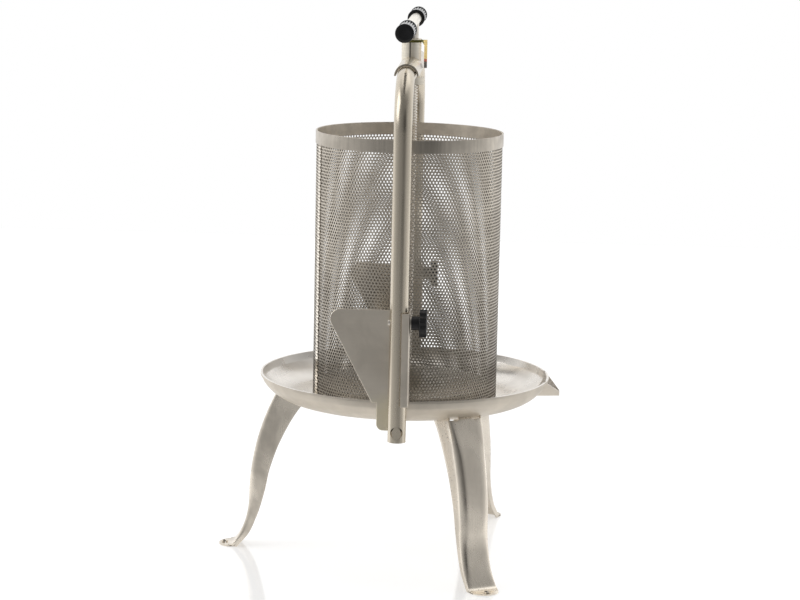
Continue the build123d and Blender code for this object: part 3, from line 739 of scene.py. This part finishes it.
ROOM_LEVELS = ((-180, 1.0), (-112, 1.0), (-97, 0.68), (-75, 0.48), (-50, 0.36), (-30, 0.28), (-10, 0.22), (10, 0.12),
               (25, 0.05), (38, 0.09), (50, 0.37), (75, 0.55), (98, 0.62), (113, 0.75), (130, 1.0), (180, 1.0))
CEILING_FRONT, CEILING_BACK, BELOW_LEVEL = 0.22, 0.8, 0.48
FLOOR_SIZE, FLOOR_PLACE = (3.2, 2.4, 1.0), (0.0, 0.8, 0.0)
FLOOR_FRONT, FLOOR_BACK, FRONT_LEVEL = -0.34, -0.29, 0.5
FLOOR_ROUGH, FLOOR_GLOW = 0.09, 0.43
LAMPS = (("left_softbox", (-2.2, -0.6, 1.9), 1.8, 16.0), ("top_softbox", (0.3, 0.6, 2.6), 2.2, 7.0))
LAMP_AIM = Vector((0.0, 0.0, 0.35))


def looking(place, way):
    """Stand of a camera or lamp that looks along a way."""
    return Matrix.Translation(place) @ way.to_track_quat("-Z", "Y").to_matrix().to_4x4()


# Operators

class PRESS_OT_stage(bpy.types.Operator):
    """Floor, light and the camera of the photograph"""
    bl_idname = "press.stage"
    bl_label = "Stage"

    def execute(self, context):
        scene = context.scene
        settings = scene.fruit_press.stage
        scene.view_settings.view_transform = "Standard"
        self.light_world(scene)
        self.lay_floor(scene, settings)
        self.hang_lamps(scene)
        data = bpy.data.cameras.new("photo_camera")
        data.lens = settings.lens
        data.sensor_width = 36.0
        data.clip_end = 50.0
        camera = bpy.data.objects.new("photo_camera", data)
        turn, tilt = settings.camera_turn, settings.camera_tilt
        ahead = Vector((-math.sin(turn) * math.cos(tilt), math.cos(turn) * math.cos(tilt), -math.sin(tilt)))
        camera.matrix_world = looking(settings.camera_place, ahead) @ Matrix.Rotation(settings.camera_roll, 4, "Z")
        scene.collection.objects.link(camera)
        scene.camera = camera
        return {"FINISHED"}

    def light_world(self, scene):
        """Studio that is white behind the press, and darker for light and reflections towards the camera."""
        world = bpy.data.worlds.new("white_room")
        scene.world = world
        world.use_nodes = True
        tree = world.node_tree
        tree.nodes.clear()
        way = axes(tree, tree.nodes.new("ShaderNodeTexCoord").outputs["Generated"])
        around = maths(tree, "ARCTAN2", way["X"], maths(tree, "MULTIPLY", way["Y"], -1.0))
        share = maths(tree, "MULTIPLY_ADD", around, 0.5 / math.pi, 0.5)
        walls = colour_ramp(tree, share, [(0.5 + angle / 360.0, grey(level)) for angle, level in ROOM_LEVELS])
        ceiling = span(tree, way["Y"], -0.5, 0.6, CEILING_FRONT, CEILING_BACK)
        upper = mix_colour(tree, span(tree, way["Z"], 0.3, 0.8), walls, ceiling)
        room = mix_colour(tree, span(tree, way["Z"], -0.26, -0.12, 1.0, 0.0), upper, grey(BELOW_LEVEL))
        seen, _ = rays_seen(tree, mirrored=span(tree, way["Y"], 0.3, 0.6))
        back = add_node(tree, "ShaderNodeBackground", Color=mix_colour(tree, seen, room, grey(1.0)), Strength=1.0)
        end = tree.nodes.new("ShaderNodeOutputWorld")
        tree.links.new(back.outputs["Background"], end.inputs["Surface"])

    def lay_floor(self, scene, settings):
        """White floor that is darker in front of the press for light and reflections."""
        bm = bmesh.new()
        bmesh.ops.create_grid(bm, x_segments=8, y_segments=8, size=1.0)
        bmesh.ops.scale(bm, vec=FLOOR_SIZE, verts=bm.verts[:])
        bmesh.ops.translate(bm, vec=FLOOR_PLACE, verts=bm.verts[:])
        mesh = bpy.data.meshes.new("floor")
        bm.to_mesh(mesh)
        bm.free()
        floor = bpy.data.objects.new("floor", mesh)
        scene.collection.objects.link(floor)
        material, tree, shader, place = new_material("floor_white")
        cloud = add_node(tree, "ShaderNodeTexNoise", Vector=place, Scale=3.0, Detail=2.0)
        white = mix_colour(tree, cloud.outputs["Fac"], rgba(settings.floor, 0.98), rgba(settings.floor))
        seen, by_camera = rays_seen(tree)
        lit = maths(tree, "MAXIMUM", span(tree, axes(tree, place)["Y"], FLOOR_FRONT, FLOOR_BACK, FRONT_LEVEL, 1.0),
                    by_camera)
        tree.links.new(mix_colour(tree, lit, grey(0.0), white), shader.inputs["Base Color"])
        shader.inputs["Roughness"].default_value = FLOOR_ROUGH
        shader.inputs["Emission Color"].default_value = grey(1.0)
        tree.links.new(maths(tree, "MULTIPLY", maths(tree, "MULTIPLY", seen, lit), FLOOR_GLOW),
                       shader.inputs["Emission Strength"])
        mesh.materials.append(material)

    def hang_lamps(self, scene):
        """Two soft lamps, from the left and from above."""
        for name, place, size, power in LAMPS:
            data = bpy.data.lights.new(name, "AREA")
            data.shape = "SQUARE"
            data.size = size
            data.energy = power
            lamp = bpy.data.objects.new(name, data)
            lamp.matrix_world = looking(place, LAMP_AIM - Vector(place))
            scene.collection.objects.link(lamp)


class PRESS_OT_tray(bpy.types.Operator):
    """Tray with its hemmed rim and pouring lip, and the bar under it"""
    bl_idname = "press.tray"
    bl_label = "Tray"

    def execute(self, context):
        press = context.scene.fruit_press
        # The dish's outer side takes a darker copy of the sheet colour as painted shade
        steel = steel_finish("tray_sheet", press.colours.tray, (40.0, 40.0, 40.0), 0.2, rough_spread=0.08,
                             lines=0.05, clouds=0.12, specks=0.02, bump=0.00001, speck_scale=90.0,
                             outer_shade=toned(press.colours.sheet, 1.12))
        dress_node("tray_dish", "tray", steel, "base", press.sizes.edge_round, sharpest=28.0)
        dress_node("beam_bar", "cross_beam", steel, "base", press.sizes.edge_round)
        return {"FINISHED"}


class PRESS_OT_legs(bpy.types.Operator):
    """Three folded sheet legs with round toes"""
    bl_idname = "press.legs"
    bl_label = "Legs"

    def execute(self, context):
        press = context.scene.fruit_press
        for node, turn in LEG_TURNS.items():
            web, flange = (self.leg_steel(press, node + part, *look)
                           for part, look in zip(("_web", "_flange"), LEG_LIGHT_AND_MARKS[node]))
            bm = leg_mesh(press.sizes)
            bmesh.ops.rotate(bm, cent=(0, 0, 0), matrix=Matrix.Rotation(math.radians(turn), 3, "Z"),
                             verts=bm.verts[:])
            piece = make_piece(node + "_channel", bm, web, "base", [node], crease=60.0)
            thicken(piece, press.sizes.leg_sheet, flange)
            edge = piece.modifiers.new("Edges", "BEVEL")
            edge.width = press.sizes.edge_round
            edge.segments = 2
            edge.limit_method = "ANGLE"
            edge.angle_limit = math.radians(50.0)
        return {"FINISHED"}

    def leg_steel(self, press, name, level, clouds, specks):
        """Rolled sheet of one side of a leg: the sheet colour made lighter by a level, as painted light, with its own
        smudges and specks.
        """
        return steel_finish(name, toned(press.colours.sheet, level), (260.0, 260.0, 9.0), 0.2, rough_spread=0.1,
                            clouds=clouds, specks=specks, lines=0.03, bump=0.00001, cloud_scale=22.0,
                            speck_scale=230.0)


FOLDED_EDGE, HOOK_START = 2.7, -0.013


class PRESS_OT_frame(bpy.types.Operator):
    """Bent tube frame with its half-pipe, pivot pins and brackets"""
    bl_idname = "press.frame"
    bl_label = "Frame and brackets"

    def execute(self, context):
        press = context.scene.fruit_press
        width = press.sizes.edge_round
        tube = steel_finish("frame_tube", press.colours.tube, (300.0, 300.0, 5.0), 0.22, rough_spread=0.05,
                            clouds=0.06, lines=0.05, bump=0.00001)
        for side, sign in (("front", -1.0), ("rear", 1.0)):
            dress_node("tube_" + side, "frame_tube_" + side, tube, "base", width)
            weld = (-0.016, sign * 0.211, 0.234)
            # The bracket's tone is a lighter copy of the sheet colour, painted light. The straw heat tint by the weld
            # is real, but its colour is also set lighter as painted light on the lug
            plate = steel_finish("bracket_sheet_" + side, toned(press.colours.sheet, 1.28), (7.0, 240.0, 240.0), 0.32,
                                 clouds=0.22, lines=0.02, bump=0.00001, cloud_scale=20.0,
                                 heat=(weld, 0.052, 0.95), heat_colour=press.colours.heat)
            bm = node_copy("bracket_" + side)
            round_edges(bm, width * FOLDED_EDGE, left_of=HOOK_START)
            round_edges(bm, width)
            keep_flats(make_piece("bracket_" + side + "_plate", bm, plate, "base", ["bracket_" + side]))
        pipe = steel_finish("saddle_pipe", press.colours.tube, (300.0, 6.0, 300.0), 0.2, rough_spread=0.05, clouds=0.1)
        dress_node("half_pipe", "frame_saddle", pipe, "base", width)
        self.lay_beads(steel_finish("weld_bead", toned(press.colours.tube, 1.4), (300.0, 300.0, 300.0), 0.4,
                                    heat=((0.0, 0.0, 0.7), 1.0, 1.0), heat_colour=toned(press.colours.tube, 1.4)))
        dress_node("pivot_pin_pair", "pivot_pins", small_steel(press.colours), "base", width)
        self.cap_pins(tube)
        return {"FINISHED"}

    def lay_beads(self, material):
        """Weld beads that join the ends of the half-pipe to the tube below it."""
        bead, radius, start, inset = 0.0007, 0.01345, 0.5, 0.0004
        low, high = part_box("frame_saddle")
        bm = bmesh.new()
        for along in (low[1] + inset, high[1] - inset):
            centre = Vector((0.0, along, low[2]))
            place = (Matrix.Translation(centre) @ Matrix.Rotation(-start, 4, "Y")
                     @ Matrix.Translation((radius, 0.0, 0.0)))
            verts = bmesh.ops.create_circle(bm, cap_ends=False, segments=8, radius=bead, matrix=place)["verts"]
            bmesh.ops.spin(bm, geom=verts + edges_at(verts), cent=centre, axis=(0, 1, 0), dvec=(0, 0, 0),
                           angle=2 * start - math.pi, steps=20, use_duplicate=False)
        bmesh.ops.holes_fill(bm, edges=open_edges(bm))
        close_up(bm)
        make_piece("saddle_beads", bm, material, "base", ["frame_saddle"])

    def cap_pins(self, material):
        """Oval heads of the pivot pins, nearly flush in their holes."""
        radius, depth, sunk, oval, soft = 0.0081, 0.004, 0.0017, (0.8, 1.0, 1.1), 0.0006
        low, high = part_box("pivot_pins")
        height = (low[2] + high[2]) / 2
        for side, end, sign in (("front", low[1], -1.0), ("rear", high[1], 1.0)):
            bm = bmesh.new()
            stand = Matrix.Translation((0.0, end - sign * sunk, height)) @ Matrix.Rotation(math.pi / 2, 4, "X")
            bmesh.ops.create_cone(bm, cap_ends=True, segments=40, radius1=radius, radius2=radius, depth=depth,
                                  matrix=stand)
            bmesh.ops.scale(bm, vec=oval, verts=bm.verts[:], space=Matrix.Translation((0, 0, -height)))
            round_edges(bm, soft)
            keep_flats(make_piece("pin_head_" + side, bm, material, "base", ["pivot_pins"]))


class PRESS_OT_spindle(bpy.types.Operator):
    """Threaded spindle, its nut sleeve and the strip that hangs beside it"""
    bl_idname = "press.spindle"
    bl_label = "Spindle and nut"

    def execute(self, context):
        press = context.scene.fruit_press
        thread_steel = steel_finish("thread_steel", toned(press.colours.machined, 1.25), (160.0, 160.0, 160.0), 0.12,
                                    clouds=0.1)
        make_piece("spindle_screw", self.spindle_mesh(press.sizes), thread_steel, "screw", ["spindle"],
                   crease=35.0)
        # The nut sleeve carries a painted dark reflection line on its front
        sleeve = steel_finish("nut_sleeve", press.colours.sleeve, (8.0, 8.0, 400.0), 0.5, clouds=0.08, lines=0.05,
                              seam=(-0.0014, 0.0014))
        dress_node("nut_sleeve", "spindle_nut", sleeve, "base", press.sizes.edge_round)
        make_piece("side_strip", self.strip_mesh(), tag_finish(press.colours), "base", ["hang_tag"])
        return {"FINISHED"}

    def spindle_mesh(self, sizes):
        """The solid's shank, a thread below it, and a collar and neck in the swivel."""
        neck, chamfer, play, collar_height, shank_gap, run_in = 0.007, 0.0006, 0.0003, 0.006, 0.001, 0.003
        low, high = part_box("spindle")
        keeper_low, keeper_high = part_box("swivel_keeper")
        neck_low, neck_high = keeper_low[2] - play, keeper_high[2] + play
        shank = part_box("spindle_nut")[1][2] + shank_gap
        collar = neck_high + collar_height
        crest = high[0]
        root = crest - sizes.thread_depth
        bm = node_copy("spindle")
        bmesh.ops.bisect_plane(bm, geom=whole(bm), plane_co=(0, 0, shank), plane_no=(0, 0, 1), clear_inner=True)
        bmesh.ops.holes_fill(bm, edges=open_edges(bm))
        turned(bm, [(0.0, low[2]), (crest - chamfer, low[2]), (crest, low[2] + chamfer), (crest, neck_low),
                    (neck, neck_low), (neck, neck_high), (crest, neck_high), (crest, collar),
                    (root, collar + sizes.thread_depth), (0.0, collar + sizes.thread_depth)])
        self.cut_thread(bm, sizes, crest, root, collar - sizes.thread_pitch, shank + run_in)
        close_up(bm, join=5e-6)
        bmesh.ops.holes_fill(bm, edges=open_edges(bm))
        bmesh.ops.recalc_face_normals(bm, faces=bm.faces[:])
        return bm

    def cut_thread(self, bm, sizes, crest, root, start, end):
        """Trapezoidal thread, swept up the spindle by turns."""
        flank_angle, land_share, sunk, steps = math.radians(15.0), 0.366, 0.00003, 24
        pitch = sizes.thread_pitch
        flank = sizes.thread_depth * math.tan(flank_angle)
        land = land_share * pitch
        valley = pitch - land - 2 * flank
        top = crest - sunk
        profile = [(root, 0.0), (root, valley), (top, valley + flank), (top, valley + flank + land), (root, pitch)]
        verts = [bm.verts.new((radius, 0.0, start + rise)) for radius, rise in profile]
        edges = [bm.edges.new(pair) for pair in zip(verts[:-1], verts[1:])]
        turns = math.ceil((end - start) / pitch) - 1
        bmesh.ops.spin(bm, geom=verts + edges, cent=(0, 0, 0), axis=(0, 0, 1), dvec=(0, 0, pitch / steps),
                       angle=2 * math.pi * turns, steps=steps * turns, use_duplicate=False)

    def strip_mesh(self):
        """The solid's strip made narrower, and its loop thinner."""
        strip_width, strip_half, narrowed, loop_top, loop_rise = 0.0061, 0.003, 0.72, 0.004, 0.0045
        bm = node_copy("hang_tag")
        _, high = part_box("hang_tag")
        strip = [vert for vert in bm.verts if vert.co.x > high[0] - strip_width]
        loop = [vert for vert in bm.verts if vert not in strip and vert.co.z < high[2] - loop_top]
        bmesh.ops.translate(bm, vec=(0.0, 0.0, loop_rise), verts=loop)
        bmesh.ops.scale(bm, vec=(narrowed, 1.0, 1.0), verts=strip,
                        space=Matrix.Translation((strip_half - high[0], 0.0, 0.0)))
        return bm


class PRESS_OT_handle(bpy.types.Operator):
    """Handle bar with two ridged grips"""
    bl_idname = "press.handle"
    bl_label = "Handle"

    def execute(self, context):
        press = context.scene.fruit_press
        bar = steel_finish("handle_bar", press.colours.sleeve, (300.0, 6.0, 300.0), 0.16, clouds=0.06)
        dress_node("handle_rod", "handle_bar", bar, "screw", press.sizes.edge_round)
        black = plastic_finish("grip_plastic", press.colours.plastic, 0.12, 0.00001)
        for side, sign in (("front", -1.0), ("rear", 1.0)):
            bm = self.grip_mesh(press.sizes, "handle_grip_" + side, sign)
            make_piece("grip_" + side, bm, black, "screw", ["handle_grip_" + side], crease=35.0)
        return {"FINISHED"}

    def grip_mesh(self, sizes, node, sign):
        """Ridged sleeve between two round flanges, closed at the outer end."""
        lip, bore, width, soft, wall, dish = 0.0008, 0.0081, 0.005, 0.0011, 0.0025, 0.0004
        low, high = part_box(node)
        centre = Vector((0.0, 0.0, (low[2] + high[2]) / 2))
        flange = (high[2] - low[2]) / 2
        body = flange - lip
        near, far = sorted((abs(low[1]), abs(high[1])))
        ridge = (1.0, 0.985, 0.93, 1 - sizes.ridge_depth / body, 0.93, 0.985)
        count = sizes.grip_ridges * len(ridge)
        way = (0.0, sign, 0.0)
        bm = bmesh.new()
        turned(bm, [(0.0, far - dish), (flange * 0.55, far - dish / 2), (flange - soft, far),
                    (flange - soft * 0.3, far - soft * 0.3), (flange, far - soft), (flange, far - width + soft),
                    (flange - soft * 0.4, far - width)], centre, way, steps=count)
        turned(bm, [(flange - soft * 0.4, near + width), (flange, near + width - soft), (flange, near + soft),
                    (flange - soft * 0.3, near + soft * 0.3), (flange - soft, near), (bore, near), (bore, far - wall),
                    (0.0, far - wall)], centre, way, steps=count)
        stand = (Matrix.Translation(centre + Vector((0.0, sign * (near + width), 0.0)))
                 @ Matrix.Rotation(math.pi / 2, 4, "X"))
        verts = bmesh.ops.create_circle(bm, cap_ends=False, segments=count, radius=body, matrix=stand)["verts"]
        for index, vert in enumerate(verts):
            radial = vert.co - centre
            radial.y = 0.0
            vert.co -= radial * (1.0 - ridge[index % len(ridge)])
        push_out(bm, edges_at(verts), (0.0, sign * (far - near - 2 * width), 0.0))
        close_up(bm)
        for level in (near + width, far - width):
            bmesh.ops.bridge_loops(bm, edges=[edge for edge in open_edges(bm) if all(
                abs(abs(vert.co.y) - level) < 1e-5 for vert in edge.verts)])
        bmesh.ops.recalc_face_normals(bm, faces=bm.faces[:])
        return bm


class PRESS_OT_basket(bpy.types.Operator):
    """Perforated basket with its rim band and seam strip"""
    bl_idname = "press.basket"
    bl_label = "Basket"

    def execute(self, context):
        press = context.scene.fruit_press
        sizes = press.sizes
        low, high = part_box("basket_shell")
        # The wall's and the margins' colours are lighter copies of the sheet colour, painted light; the wall also
        # darkens towards its foot as painted shade
        steel = steel_finish("basket_sheet", toned(press.colours.sheet, 1.17), (60.0, 60.0, 60.0), 0.3, clouds=0.18,
                             lines=0.08, foot_shade=(0.235, 0.50, 0.52))
        # The hole walls are a dark copy of the sheet colour, painted shade inside the holes
        painted_hole_shade = steel_finish("punched_rim", toned(press.colours.sheet, 0.3), (60.0, 60.0, 60.0), 0.4,
                               foot_shade=(0.235, 0.50, 0.8))
        margin = steel_finish("margin_sheet", toned(press.colours.sheet, 1.38), (60.0, 60.0, 60.0), 0.3)
        for quarter in range(4):
            bm = perforated_wall(sizes, sizes.hole_diameter, high[0], low[2], high[2], quarter * math.pi / 2,
                                 sizes.hole_columns // 4)
            piece = make_piece(f"basket_wall_{quarter + 1}", bm, steel, "basket", ["basket_shell"], flat=True)
            thicken(piece, sizes.basket_sheet, painted_hole_shade, margin).material_offset_rim = PUNCHED
        band = steel_finish("rim_sheet", press.colours.sheet, (200.0, 200.0, 14.0), 0.22, clouds=0.3, lines=0.11,
                            cloud_scale=30.0)
        dress_node("rim_band", "basket_rim_band", band, "basket", sizes.edge_round)
        # The lap is a much lighter, glossier copy of the sheet colour, a painted highlight along the seam
        bright = steel_finish("seam_sheet", toned(press.colours.sheet, 1.6), (60.0, 60.0, 60.0), 0.05,
                              rough_spread=0.03, clouds=0.06, lines=0.06)
        self.lay_seam(sizes, bright)
        return {"FINISHED"}

    def lay_seam(self, sizes, material):
        """Lap of the same sheet, two columns of holes wide, with its holes over those of the wall."""
        spots = [vert.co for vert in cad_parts["basket_seam_strip"].data.vertices]
        radius = max(math.hypot(spot.x, spot.y) for spot in spots)
        low, high = min(spot.z for spot in spots), max(spot.z for spot in spots)
        middle = sum(spots, Vector()) / len(spots)
        step = 2 * math.pi / sizes.hole_columns
        first = round(math.atan2(middle.y, middle.x) / step - 0.75)
        bm = perforated_wall(sizes, sizes.seam_hole, radius, low, high, first * step, 2)
        piece = make_piece("seam_strip", bm, material, "basket", ["basket_seam_strip"], flat=True)
        thicken(piece, sizes.seam_sheet, material, material).material_offset_rim = PUNCHED


class PRESS_OT_plate(bpy.types.Operator):
    """Press plate and the swivel that joins it to the spindle"""
    bl_idname = "press.plate"
    bl_label = "Press plate"

    def execute(self, context):
        press = context.scene.fruit_press
        width = press.sizes.edge_round
        sheet = steel_finish("plate_sheet", press.colours.sheet, (50.0, 50.0, 50.0), 0.26, clouds=0.2)
        small = small_steel(press.colours)
        dress_node("plate_disc", "press_plate", sheet, "plate", width)
        dress_node("swivel_cup", "swivel_socket", sheet, "plate", width)
        dress_node("swivel_halves", "swivel_keeper", sheet, "plate", width)
        dress_node("swivel_screws", "keeper_screws", small, "plate", width)
        return {"FINISHED"}


class PRESS_OT_knobs(bpy.types.Operator):
    """Star knobs with their screws, washers and bushes"""
    bl_idname = "press.knobs"
    bl_label = "Knobs"

    def execute(self, context):
        press = context.scene.fruit_press
        width = press.sizes.edge_round
        black = plastic_finish("knob_plastic", press.colours.plastic, 0.38, 0.0001)
        small = small_steel(press.colours)
        pale = steel_finish("stud_steel", toned(press.colours.machined, 1.5), (200.0, 200.0, 200.0), 0.3, clouds=0.1)
        for side in ("front", "rear"):
            dress_node("star_knob_" + side, "knob_" + side, black, "knob_" + side, width)
            dress_node("knob_stud_" + side, "knob_screw_" + side, pale, "knob_" + side, width)
            dress_node("knob_ring_" + side, "knob_washer_" + side, small, "washer_" + side, width / 2)
        dress_node("bush_pair", "knob_bushes", small, "base", width / 2)
        return {"FINISHED"}


OPERATORS = (PRESS_OT_stage, PRESS_OT_tray, PRESS_OT_legs, PRESS_OT_frame, PRESS_OT_spindle, PRESS_OT_handle,
             PRESS_OT_basket, PRESS_OT_plate, PRESS_OT_knobs)


class PRESS_PT_panel(bpy.types.Panel):
    """Lists the pieces of the press"""
    bl_idname = "PRESS_PT_panel"
    bl_label = "Fruit Press"
    bl_space_type = "VIEW_3D"
    bl_region_type = "UI"
    bl_category = "Fruit Press"

    def draw(self, context):
        for operator in OPERATORS:
            self.layout.operator(operator.bl_idname)


CLASSES = (PressSizes, PressColours, StageSettings, PressSettings) + OPERATORS + (PRESS_PT_panel,)


def register():
    for cls in CLASSES:
        bpy.utils.register_class(cls)
    bpy.types.Scene.fruit_press = PointerProperty(type=PressSettings)


def unregister():
    del bpy.types.Scene.fruit_press
    for cls in reversed(CLASSES):
        bpy.utils.unregister_class(cls)


def main():
    register()
    bpy.ops.press.stage()
    bpy.ops.press.tray()
    bpy.ops.press.legs()
    bpy.ops.press.frame()
    bpy.ops.press.spindle()
    bpy.ops.press.handle()
    bpy.ops.press.basket()
    bpy.ops.press.plate()
    bpy.ops.press.knobs()


if __name__ == "__main__":
    main()
